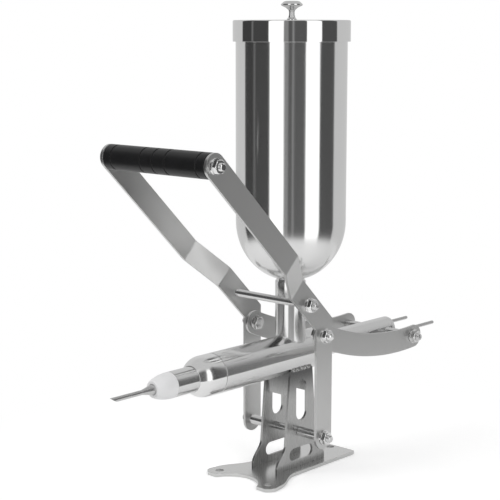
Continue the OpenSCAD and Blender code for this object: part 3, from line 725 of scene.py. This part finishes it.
# %% Guide rods
def guide_rods():
    """Both rods, each with a half-round end."""
    low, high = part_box("guide_rods")
    radius = (high[2] - low[2]) / 2
    height = (high[2] + low[2]) / 2
    nose = [(radius * math.cos(a), high[1] - radius + radius * math.sin(a))
            for a in np.linspace(0, math.pi / 2, 7)]
    outline = [(0.0, low[1]), (radius, low[1]), (radius, low[1] + 10 * MM)] + nose[:-1]
    outline.append((0.0, high[1]))
    shells = [spin(outline, False, Y_AXIS, (x, 0, height), 32)
              for x in (low[0] + radius, high[0] - radius)]
    return fine("guide_rods", shells, guide_steel)


print(guide_rods().name)

# %% [markdown]
# ## Feed neck on its saddle
#
# The neck is a tube whose foot is cut to the barrel's curve. It is spun as a straight tube
# first. Then every vertex slides down by its share of the way, so that the foot lands on the
# barrel. A thin weld ring follows the same curve.

# %% Feed neck
NECK_WALL = 1.2 * MM


def saddle_height(x):
    """Height of the barrel's skin at a sideways place."""
    return BARREL_MID[2] + math.sqrt(BARREL_RADIUS ** 2 - x ** 2)


def feed_neck():
    """Tube with a saddle-shaped foot."""
    low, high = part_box("feed_neck")
    outer = (high[0] - low[0]) / 2
    bottom, top = low[2], high[2]
    outline = softened(ring_outline(outer - NECK_WALL, outer, bottom, top), True, 0.3 * MM)
    vertices, faces = spin(outline, True, Z_AXIS, HOPPER_AXIS, 128)
    seated = []
    for x, y, z in vertices:
        share = (top - z) / (top - bottom)
        seated.append((x, y, top - share * (top - saddle_height(x))))
    return fine("feed_neck", [(seated, faces)], neck_steel, 60)


def neck_weld(bead=0.75 * MM, around=192, ripples=60):
    """Thin rippled bead where the neck meets the barrel."""
    low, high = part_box("feed_neck")
    radius = (high[0] - low[0]) / 2
    sides = 8
    vertices = []
    for k in range(around):
        angle = 2 * math.pi * k / around
        x = radius * math.cos(angle)
        swell = bead * (1 + 0.10 * math.sin(ripples * angle))
        for s in range(sides):
            turn = 2 * math.pi * s / sides
            out = radius + swell * math.cos(turn)
            vertices.append((out * math.cos(angle), out * math.sin(angle),
                             saddle_height(x) + swell * math.sin(turn)))
    piece = build("neck_weld", [(vertices, ring_faces(around, sides, True))])
    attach(piece, BODY_OF["feed_neck"])
    piece.data.materials.append(neck_steel)
    return piece


print(feed_neck().name, neck_weld().name)

# %% [markdown]
# ## Needle nozzle
#
# The needle is a thin cone and tube with its tip cut on the slant. It is spun straight, and
# the tube's vertices are then pulled back by an amount that grows from top to bottom. That
# turns the square end into a slanted one with a true elliptical mouth.

# %% Needle nozzle
NEEDLE_RADIUS = 2.5 * MM
NEEDLE_WALL = 0.5 * MM
NEEDLE_LENGTH = 42 * MM
NEEDLE_CUT = 8.5 * MM
NEEDLE_BASE_RADIUS = 9.3 * MM
FLANGE = 1.2 * MM


def needle_nozzle():
    """Flanged cone, thin tube and slanted mouth."""
    low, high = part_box("needle_nozzle")
    flange_radius = (high[0] - low[0]) / 2
    tip, base = low[1], high[1]
    root = tip + NEEDLE_LENGTH
    slope = (NEEDLE_BASE_RADIUS - NEEDLE_RADIUS) / (base - root)
    at_flange = NEEDLE_BASE_RADIUS - slope * FLANGE
    outline = softened([
        (NEEDLE_BASE_RADIUS - NEEDLE_WALL, base), (flange_radius, base),
        (flange_radius, base - FLANGE), (at_flange, base - FLANGE),
        (NEEDLE_RADIUS, root), (NEEDLE_RADIUS, tip),
        (NEEDLE_RADIUS - NEEDLE_WALL, tip), (NEEDLE_RADIUS - NEEDLE_WALL, root)],
        True, 0.15 * MM)
    vertices, faces = spin(outline, True, Y_AXIS, BARREL_MID, 64)
    top = BARREL_MID[2] + NEEDLE_RADIUS
    slanted = []
    for x, y, z in vertices:
        share = max(0.0, (root - y) / (root - tip))
        slanted.append((x, y + share * NEEDLE_CUT * (top - z) / (2 * NEEDLE_RADIUS), z))
    return fine("needle_nozzle", [(slanted, faces)], needle_steel, 60)


print(needle_nozzle().name)

# %% [markdown]
# ## Threaded rods and bolts
#
# The rods end in M8 thread, and short lengths of it shine outside the nuts. A thread is a
# ridge that climbs one pitch a turn. So the radius at each place comes from one number: how
# far the place is along the axis, in pitches, less how far it is round, in turns.

# %% Threads
ROD_RADIUS = 4 * MM
PITCH = 1.25 * MM
THREAD_DEPTH = 0.55 * MM
END_BEVEL = 0.8 * MM
STEPS_A_PITCH = 8


def thread_dip(along, angle):
    """Depth below the crest at a place on the thread."""
    turn = (along / PITCH - angle / (2 * math.pi)) % 1.0
    return THREAD_DEPTH * min(1.0, 2.2 * abs(turn - 0.5))


def rod_shell(centre, start, end, thread_from, core=None, sides=48):
    """Half a rod from start to end along X, threaded past thread_from on that side.

    core, where given, is a pair: a thicker radius, and the place up to which it reaches."""
    way = 1 if end > start else -1
    stations = [(start, core[0] if core else ROD_RADIUS, False)]
    if core:
        stations += [(core[1], core[0], False), (core[1], ROD_RADIUS, False)]
    count = int(abs(end - thread_from) / PITCH * STEPS_A_PITCH)
    for i in range(count + 1):
        place = thread_from + way * abs(end - thread_from) * i / count
        left = abs(end - place)
        stations.append((place, ROD_RADIUS - max(0.0, END_BEVEL - left), True))
    vertices = []
    for place, r, threaded in stations:
        for k in range(sides):
            angle = 2 * math.pi * k / sides
            dip = thread_dip(place, angle) if threaded else 0.0
            if threaded:
                dip *= min(1.0, abs(place - thread_from) / PITCH)
            vertices.append(place_on(X_AXIS, centre, r - dip, angle, place))
    faces = ring_faces(len(stations), sides)
    last = (len(stations) - 1) * sides
    faces.append(tuple(last + k for k in range(sides)))
    faces.append(tuple(reversed(range(sides))))
    return vertices, faces


BAR_THICKNESS = 3 * MM
LEG_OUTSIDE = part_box("axle_sleeves")[1][0] + BAR_THICKNESS
ARM_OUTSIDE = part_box("lever_arm_right")[1][0]


def threaded_rod(node, thread_from, material, core=None):
    """A rod right across the machine with thread at both ends."""
    low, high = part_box(node)
    other = (core[0], -core[1]) if core else None
    shells = [rod_shell(middle(node), 0, high[0], thread_from, core),
              rod_shell(middle(node), 0, low[0], -thread_from, other)]
    return fine(node, shells, material)


threaded_rod("tie_rod", LEG_OUTSIDE, rod_steel)
threaded_rod("lever_axle", LEG_OUTSIDE, rod_steel)
threaded_rod("grip_stud", ARM_OUTSIDE, fastener_steel)
CORE_RADIUS = (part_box("cross_rod")[1][1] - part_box("cross_rod")[0][1]) / 2
LINK_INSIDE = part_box("link_right")[0][0]
cross_rod = threaded_rod("cross_rod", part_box("link_right")[1][0] + 0.5 * MM, rod_steel,
                         (CORE_RADIUS, LINK_INSIDE - 0.3 * MM))
GUIDE_RADIUS, GUIDE_HOLE_RADIUS = 2 * MM, 2.1 * MM
GUIDE_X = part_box("guide_rods")[1][0] - GUIDE_RADIUS
rear = middle("cross_rod")[1]
for side in (-1, 1):
    hole_at = (side * GUIDE_X, 0, middle("guide_rods")[2])
    drill(cross_rod, Y_AXIS, hole_at, GUIDE_HOLE_RADIUS, rear - 10 * MM, rear + 10 * MM)
print("rods threaded from x =", round(LEG_OUTSIDE / MM, 1), "and", round(ARM_OUTSIDE / MM, 1))

# %% [markdown]
# ## Nuts, bolt heads and washers
#
# A nut is a hexagon whose corners were turned off by a cone. The radius at each angle is the
# smaller of the two, and where they meet, the well-known curved edges appear by themselves.

# %% Hexagons and washers
NUT_FLATS = 13 * MM
TURNED_SHARE = 0.96
CHAMFER_STEPS = 5


def hex_radius(angle):
    """Distance from the axis to a nut's side at an angle."""
    sector = math.pi / 3
    return NUT_FLATS / 2 / math.cos((angle % sector) - sector / 2)


def hex_shell(centre, start, end, bore, both_ends):
    """A nut or bolt head along X, chamfered at its end or at both ends."""
    corner = NUT_FLATS / 2 / math.cos(math.pi / 6)
    face = NUT_FLATS / 2 * TURNED_SHARE
    drop = (corner - face) * math.tan(math.pi / 6)
    way = 1 if end > start else -1
    ramp = [(i / CHAMFER_STEPS) for i in range(CHAMFER_STEPS + 1)]
    stations = [(end - way * drop * (1 - t), corner + (face - corner) * t) for t in ramp]
    if both_ends:
        stations = [(start + way * drop * t, face + (corner - face) * t) for t in ramp] + stations
    else:
        stations = [(start, corner)] + stations
    sides = 72
    outline = [[min(limit, hex_radius(2 * math.pi * k / sides)) for k in range(sides)]
               for _, limit in stations]
    places = [place for place, _ in stations]
    outline = [[bore] * sides] + outline + [[bore] * sides]
    places = [places[0]] + places + [places[-1]]
    vertices = [place_on(X_AXIS, centre, r, 2 * math.pi * k / sides, place)
                for place, ring in zip(places, outline) for k, r in enumerate(ring)]
    return vertices, ring_faces(len(places), sides, True)


WASHER, WASHER_RADIUS = 1.6 * MM, 8 * MM
NUT_HEIGHT = 5 * MM
HEAD_HEIGHT = 5.3 * MM
BOLT_HOLE = 4.1 * MM
AXLE_AT, TIE_AT, GRIP_AT = middle("lever_axle"), middle("tie_rod"), middle("grip_stud")
ELBOW_AT, REAR_AT = middle("elbow_inner_washers"), middle("cross_rod")
LINK_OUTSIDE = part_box("cross_rod_washers")[1][0] - WASHER
LEVER_STACKS = [(AXLE_AT, LEG_OUTSIDE), (ELBOW_AT, LEG_OUTSIDE), (TIE_AT, LEG_OUTSIDE),
                (GRIP_AT, ARM_OUTSIDE)]
REAR_STACKS = [(REAR_AT, LINK_OUTSIDE)]


def fasteners(node, stacks, shape):
    """Washers or nuts on both sides of the machine."""
    shells = []
    for centre, face in stacks:
        for side in (-1, 1):
            shells.append(shape(centre, side * face, side))
    return fine(node, shells, fastener_steel, 30)


def washer(centre, face, side):
    """A washer with soft edges that lies on a face."""
    outline = ring_outline(BOLT_HOLE, WASHER_RADIUS, face, face + side * WASHER)
    return spin(softened(outline, True, 0.25 * MM), True, X_AXIS, centre, 64)


def nut(centre, face, side):
    """A nut on the washer that lies on a face."""
    start = face + side * WASHER
    return hex_shell(centre, start, start + side * NUT_HEIGHT, BOLT_HOLE, True)


fasteners("lever_washers", LEVER_STACKS, washer)
fasteners("lever_nuts", LEVER_STACKS, nut)
fasteners("cross_rod_washers", REAR_STACKS, washer)
fasteners("cross_rod_nuts", REAR_STACKS, nut)
INNER_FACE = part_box("elbow_inner_washers")[1][0] - WASHER
fasteners("elbow_inner_washers", [(ELBOW_AT, INNER_FACE)], washer)


def elbow_bolts():
    """Bolts with their heads inside the links."""
    low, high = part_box("elbow_bolts")
    shells = []
    for side in (-1, 1):
        under = side * INNER_FACE
        shells.append(hex_shell(ELBOW_AT, under, under - side * HEAD_HEIGHT, 0.2 * MM, False))
        shells.append(rod_shell(ELBOW_AT, under, side * high[0], side * LEG_OUTSIDE))
    return fine("elbow_bolts", shells, fastener_steel, 30)


print(elbow_bolts().name, "and", 2 * len(LEVER_STACKS), "lever nuts")

# %% [markdown]
# ## Sleeves and grip
#
# The sleeves keep the legs clear of the stand. The grip is a rubber tube with five fine
# grooves, pushed over a steel one.

# %% Sleeves and grip
turned_again("axle_sleeves", X_AXIS, AXLE_AT, rod_steel, 0.3 * MM, 64)
turned_again("grip_tube", X_AXIS, GRIP_AT, rod_steel, 0.2 * MM, 64)
turned_again("rubber_grip", X_AXIS, GRIP_AT, grip_rubber, 0.35 * MM, 96)

# %% [markdown]
# ## Flat bar and plate
#
# Base, stand, arms and links keep their CAD shape and get soft edges. The arms also get a real
# bending radius where they are folded outwards past the hopper.

# %% Flat pieces
FOLD_RADIUS = 1.6 * MM
soft_copy("base_plate", base_steel, 0.35 * MM)
for part in ("stand_plate_left", "stand_plate_right", "cradle_plate_front",
             "cradle_plate_rear"):
    soft_copy(part, stand_steel)
for part in ("lever_arm_left", "lever_arm_right"):
    soft_copy(part, arm_steel, 0.35 * MM, FOLD_RADIUS)
for part in ("link_left", "link_right"):
    soft_copy(part, link_steel, 0.35 * MM)

# %% [markdown]
# ## A quiet mirror
#
# The yoke swings right in front of the hopper, and its mirror image there would break the
# long stripes. A photographer turns the machine or retouches it until that image is gone.
# Blender can leave out an object for mirror rays alone, so the arms, the grip and its stud
# stay visible and keep their shadows.

# %% Yoke left out of mirror images
for part in ("soft_lever_arm_left", "soft_lever_arm_right", "fine_rubber_grip",
             "fine_grip_tube", "fine_grip_stud"):
    bpy.data.objects[part].visible_glossy = False
print("the arms, the grip and its stud cast no mirror image")

# %% [markdown]
# ## Weld beads under the barrel
#
# A hand-laid bead is a row of overlapping scales. Each scale rises fast and dies away
# slowly, which a saw-tooth in the bead's height gives. The bead fills the corner between the
# plate's top edge and the barrel.

# %% Weld beads
SCALE_PITCH = 3.4 * MM
BEAD_RISE = 2.4 * MM
BEAD_STEPS, BEAD_SIDES = 240, 9


def bead_shell(side):
    """One bead along Y, from a stand plate's outer face up to the barrel's skin."""
    low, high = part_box("barrel_welds")
    outer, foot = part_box("stand_plate_right")[1][0], high[2] - BEAD_RISE
    vertices, faces = [], []
    for i in range(BEAD_STEPS + 1):
        y = low[1] + (high[1] - low[1]) * i / BEAD_STEPS
        number, part = divmod((y - low[1]) / SCALE_PITCH, 1.0)
        size = 0.75 + 0.25 * math.sin(2.4 * number + side)
        fade = min(1.0, 8 * i / BEAD_STEPS, 8 * (BEAD_STEPS - i) / BEAD_STEPS)
        swell = (0.25 + 0.95 * (1 - part)) * size * fade * MM
        toe = foot - (0.6 + 1.6 * size * (1 - part)) * fade * MM
        top = foot + BEAD_RISE
        skin = math.sqrt(BARREL_RADIUS ** 2 - (BARREL_MID[2] - top) ** 2)
        for k in range(BEAD_SIDES):
            t = k / (BEAD_SIDES - 1)
            hump = math.sin(math.pi * t) * swell
            x = outer + t * (skin - outer) + hump
            vertices.append((side * x, y, toe + t * (top - toe) - 0.3 * hump))
    for i in range(BEAD_STEPS):
        for k in range(BEAD_SIDES - 1):
            a, b = i * BEAD_SIDES + k, (i + 1) * BEAD_SIDES + k
            faces.append((a, b, b + 1, a + 1))
    return vertices, faces


def closed_bead(side):
    """The bead's skin with a buried back, so that it is a closed solid."""
    vertices, faces = bead_shell(side)
    count = len(vertices)
    barrel = Vector((0, 0, BARREL_MID[2]))
    back = []
    for x, y, z in vertices:
        inward = (Vector((0, y, barrel.z)) - Vector((x, y, z))).normalized() * 0.9 * MM
        back.append((x + inward.x, y, z + inward.z))
    faces = faces + [tuple(count + i for i in reversed(face)) for face in faces]
    along, across = BEAD_STEPS, BEAD_SIDES
    rim = [i * across for i in range(along + 1)]
    rim += [along * across + k for k in range(1, across)]
    rim += [i * across + across - 1 for i in range(along - 1, -1, -1)]
    rim += [k for k in range(across - 2, 0, -1)]
    for a, b in zip(rim, rim[1:] + rim[:1]):
        faces.append((a, b, count + b, count + a))
    return vertices + back, faces


fine("barrel_welds", [closed_bead(1), closed_bead(-1)], weld_steel, None)
weld_low, weld_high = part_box("barrel_welds")
print("weld scales along each bead:", round((weld_high[1] - weld_low[1]) / SCALE_PITCH))

# %% [markdown]
# ## What stays as it is
#
# The screw under the lid is small and its CAD mesh is exact. It keeps that mesh and gets a
# finish.

# %% CAD nodes that stay
kept = frame["nodes"]["knob_screw"].data
kept.materials.clear()
kept.materials.append(fastener_steel)
print("kept: knob_screw, with", len(kept.polygons), "faces")

# %% [markdown]
# ## Camera
#
# The photograph was matched point by point, which gives the camera's place, its aim and its
# focal length on a 36 mm square frame.

# %% Camera
CAMERA_PLACE = (953.9 * MM, -1102.8 * MM, 484.6 * MM)
CAMERA_YAW = math.radians(42.61)
CAMERA_DOWN = math.radians(9.35)
LENS = 96.98
SENSOR = 36.0

camera_data = bpy.data.cameras.new("camera")
camera_data.lens = LENS
camera_data.sensor_width = SENSOR
camera_data.sensor_fit = "AUTO"
camera = placed("camera", camera_data)
camera.location = CAMERA_PLACE
camera.rotation_euler = (math.pi / 2 - CAMERA_DOWN, 0, CAMERA_YAW)
bpy.context.scene.camera = camera
print("camera at", [round(v, 3) for v in camera.location], "lens", LENS)

# %% [markdown]
# ## The studio that the steel sees
#
# Polished steel has no colour of its own: it shows the room. A product photographer puts tall
# white softboxes and black cards around it, so that a round body mirrors them as upright
# stripes. Here the sky does that. Only mirror rays see the cards. The camera sees plain
# white, and everything else is lit by a plain pale sky. The cards stand at fixed compass
# bearings, so the stripes stay put when the camera walks round.

# %% Sky
CAMERA_BEARING = -47.4           # compass angle of the camera, seen from the machine
CARDS = [                        # bearing from the camera's, in degrees, and how bright
    (-180, -158, 0.66), (-158, -112, 0.62), (-112, -86, 0.05), (-86, -81.5, 0.16),
    (-81.5, -47, 0.06), (-47, -17.5, 1.45), (-17.5, -8, 0.25), (-8, 0, 0.10), (0, 3.5, 0.26),
    (3.5, 28, 0.10), (28, 58.5, 1.45), (58.5, 97, 0.08), (97, 158, 0.60), (158, 180, 0.66),
]
CARD_BLUR = 0.8                  # degrees over which a card's edge fades
HEIGHTS = [(-90, 1.0), (-56, 1.0), (-44, 0.0), (38, 0.0), (52, 1.0), (90, 1.0)]
FLOOR_GLOW = 0.92
CEILING_GLOW = 0.58
PLAIN_SKY = 0.62


def bearing_ramp(tree, direction):
    """Brightness of the cards at a compass bearing."""
    parts = add(tree, "SeparateXYZ", Vector=direction)
    angle = worked(tree, "ARCTAN2", parts.outputs["Y"], parts.outputs["X"])
    stops = []
    for low, high, level in CARDS:
        for bearing in (low + CARD_BLUR, high - CARD_BLUR):
            stops.append((((bearing + CAMERA_BEARING + 180) % 360) / 360, level))
    cards = grey_ramp(tree, ranged(tree, angle, -math.pi, math.pi), sorted(stops))
    return cards, parts.outputs["Z"]


def grey_ramp(tree, share, stops):
    """A colour ramp of grey levels, given as (position, level) stops."""
    ramp = add(tree, "ValToRGB", Fac=share)
    elements = ramp.color_ramp.elements
    elements.remove(elements[-1])
    elements[0].position = stops[0][0]
    elements[0].color = (stops[0][1],) * 3 + (1,)
    for position, level in stops[1:]:
        elements.new(position).color = (level, level, level, 1)
    return ramp.outputs["Color"]


def height_shares(tree, sine):
    """Two shares: 1 outside the cards' height and 0 at it, and 1 above the horizon."""
    stops = [((math.sin(math.radians(h)) + 1) / 2, v) for h, v in HEIGHTS]
    outside = grey_ramp(tree, ranged(tree, sine, -1.0, 1.0), stops)
    return outside, worked(tree, "GREATER_THAN", sine, 0.0)


def make_sky():
    """World: cards for mirror rays, white for the camera, plain pale light for the rest."""
    world = bpy.data.worlds.new("studio")
    bpy.context.scene.world = world
    world.use_nodes = True
    tree = world.node_tree
    direction = add(tree, "TexCoord").outputs["Generated"]
    cards, sine = bearing_ramp(tree, direction)
    outside, above = height_shares(tree, sine)
    glow = tint(tree, above, FLOOR_GLOW, CEILING_GLOW)
    studio = tint(tree, outside, cards, glow)
    rays = add(tree, "LightPath")
    seen = tint(tree, rays.outputs["Is Glossy Ray"], PLAIN_SKY, studio)
    seen = tint(tree, rays.outputs["Is Camera Ray"], seen, 1.0)
    feed(tree, tree.nodes["Background"].inputs["Color"], seen)


make_sky()
print("cards:", len(CARDS))

# %% [markdown]
# ## Floor
#
# The machine stands on a wide pale table. The table keeps a soft shadow and fades into the
# white behind it. Mirror rays see it only near the machine, as a real table ends somewhere:
# low pieces mirror the bright table, and the hopper mirrors the cards beyond its edge.

# %% Floor
FLOOR_RADIUS = 2.6
FADE = (0.14, 0.40)
TABLE_EDGE = (0.52, 0.68)
FLOOR_LIFT = 0.30


def distance_share(tree, low, high):
    """0 within a distance of the machine, 1 beyond another, smooth between."""
    length = add(tree, "VectorMath", operation="LENGTH", Vector=machine_position(tree))
    return ranged(tree, length.outputs["Value"], low, high, interpolation_type="SMOOTHSTEP")


def floor_material():
    """Pale table: lit and shadowed near the machine, plain white for the camera beyond."""
    material, tree, shader = new_material("floor_white")
    shader.inputs["Base Color"].default_value = (0.93, 0.93, 0.93, 1)
    shader.inputs["Roughness"].default_value = 0.9
    rays = add(tree, "LightPath")
    camera_ray, glossy_ray = rays.outputs["Is Camera Ray"], rays.outputs["Is Glossy Ray"]
    lit = shader.outputs[0]
    lift, white = (add(tree, "Emission", Strength=s).outputs[0] for s in (FLOOR_LIFT, 1.0))
    clear = add(tree, "BsdfTransparent").outputs[0]
    look = combined(tree, "MixShader", camera_ray, lit, combined(tree, "AddShader", lit, lift))
    far = worked(tree, "MULTIPLY", distance_share(tree, *FADE), camera_ray)
    look = combined(tree, "MixShader", far, look, white)
    gone = worked(tree, "MULTIPLY", distance_share(tree, *TABLE_EDGE), glossy_ray)
    look = combined(tree, "MixShader", gone, look, clear)
    feed(tree, tree.nodes["Material Output"].inputs["Surface"], look)
    return material


def make_floor():
    """Wide disc under the machine."""
    outline = [(0.0, 0.0), (0.5, 0.0), (FLOOR_RADIUS, 0.0)]
    floor = build("floor", [spin(outline, False, Z_AXIS, (0, 0, 0), 96)])
    floor.data.materials.append(floor_material())
    return floor


print("made", make_floor().name)

# %% [markdown]
# ## Lamps
#
# Two large soft lamps give the shadow a side and the rubber a highlight. Mirror rays don't see
# them, because the cards already say what the steel reflects.

# %% Lamps
def soft_lamp(name, place, aim, size, power):
    """A large square lamp aimed at a point."""
    lamp = bpy.data.lights.new(name, "AREA")
    lamp.size = size
    lamp.energy = power
    holder = placed(name, lamp)
    holder.location = place
    holder.rotation_euler = (Vector(aim) - Vector(place)).to_track_quat("-Z", "Y").to_euler()
    holder.visible_glossy = False


AIM = (0, 0, 0.22)
soft_lamp("key_lamp", (-0.9, -1.5, 1.7), AIM, 1.2, 17)
soft_lamp("fill_lamp", (1.6, -0.3, 1.2), AIM, 1.4, 9)
bpy.context.scene.view_settings.view_transform = "Standard"
